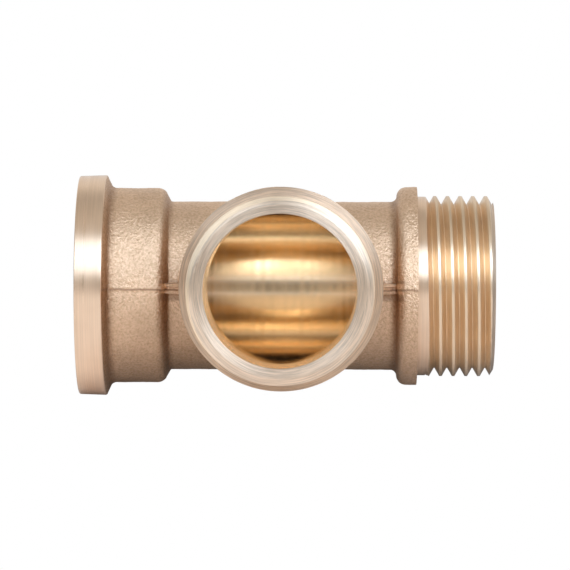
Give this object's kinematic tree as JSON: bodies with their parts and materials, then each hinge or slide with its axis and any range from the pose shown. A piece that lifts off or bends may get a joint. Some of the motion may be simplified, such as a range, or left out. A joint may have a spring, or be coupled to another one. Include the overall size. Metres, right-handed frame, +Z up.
{
  "type": "pipe tee fitting",
  "caption": "Cast bronze pipe tee with a female threaded socket and a male threaded end on the run, and a male threaded branch at right angles.",
  "frame": {"origin": "where the run's axis and the branch's axis cross", "axes": "+X along the run towards its male end, -X towards the socket, -Y out along the branch, +Z up"},
  "size_m": [0.0752, 0.0584, 0.0402],
  "materials": {
    "cast_bronze": "sand-cast skin, fine grain, dull",
    "turned_bronze": "turned, fine tool marks, satin"
  },
  "bodies": {
    "root": {"run_tube": "cast_bronze", "branch_neck": "cast_bronze", "socket_hub": "cast_bronze", "socket_collar": "turned_bronze", "run_collar": "cast_bronze", "run_spigot": "turned_bronze", "branch_collar": "cast_bronze", "branch_spigot": "turned_bronze", "socket_web": "cast_bronze", "run_web": "cast_bronze"}
  },
  "joints": []
}
